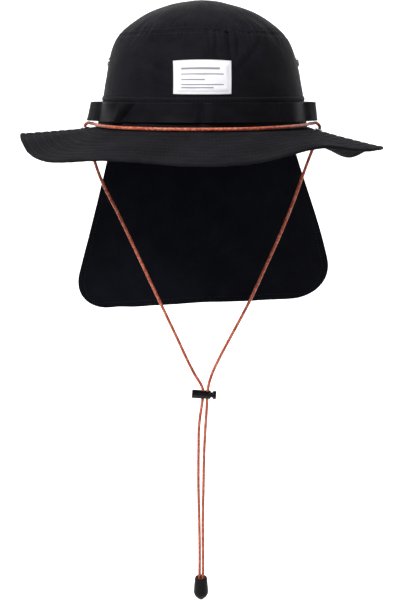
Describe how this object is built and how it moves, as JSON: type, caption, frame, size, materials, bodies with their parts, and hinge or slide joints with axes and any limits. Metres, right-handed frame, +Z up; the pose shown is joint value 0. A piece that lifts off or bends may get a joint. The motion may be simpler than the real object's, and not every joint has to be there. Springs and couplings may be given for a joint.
{
  "type": "neck flap sun hat",
  "caption": "Wide-brimmed sun hat with a domed crown, tacked ribbon band, stitched wavy brim, neck curtain and a chin cord with a spring lock.",
  "frame": {"origin": "centre of the head opening, in the plane of the seam between crown and brim", "axes": "+Z up through the crown, -Y the way the wearer looks, +X to the right of someone who faces the hat"},
  "size_m": [0.326, 0.333, 0.5799],
  "materials": {
    "crown_cloth": "matt black plain-woven nylon",
    "brim_cloth": "stitched black plain-woven nylon",
    "band_ribbon": "black ribbon",
    "flap_cloth": "deep black soft cloth",
    "label_weave": "white woven patch",
    "rivet_metal": "bright nickel plate",
    "cord_braid": "orange braided cord",
    "lock_nylon": "glossy black moulding",
    "cap_nylon": "satin black moulding"
  },
  "bodies": {
    "hat": {"crown_side": "crown_cloth", "crown_tip": "crown_cloth", "hat_band": "band_ribbon", "brim": "brim_cloth", "neck_flap": "flap_cloth", "front_label": "label_weave", "brim_grommet_left": "rivet_metal", "brim_grommet_right": "rivet_metal", "vent_eyelet_left": "rivet_metal", "vent_eyelet_right": "rivet_metal", "chin_cord": "cord_braid", "cord_lock_barrel": "lock_nylon", "cord_end_cap": "cap_nylon"},
    "plunger": {"cord_lock_plunger": "lock_nylon"}
  },
  "joints": [
    {"name": "plunger_press", "type": "slide", "parent": "hat", "child": "plunger", "axis": [-0.9981, 0, 0.0611], "range_m": [0, 0.0016], "stiffness_N_per_m": 300, "springref_m": -0.004}
  ]
}
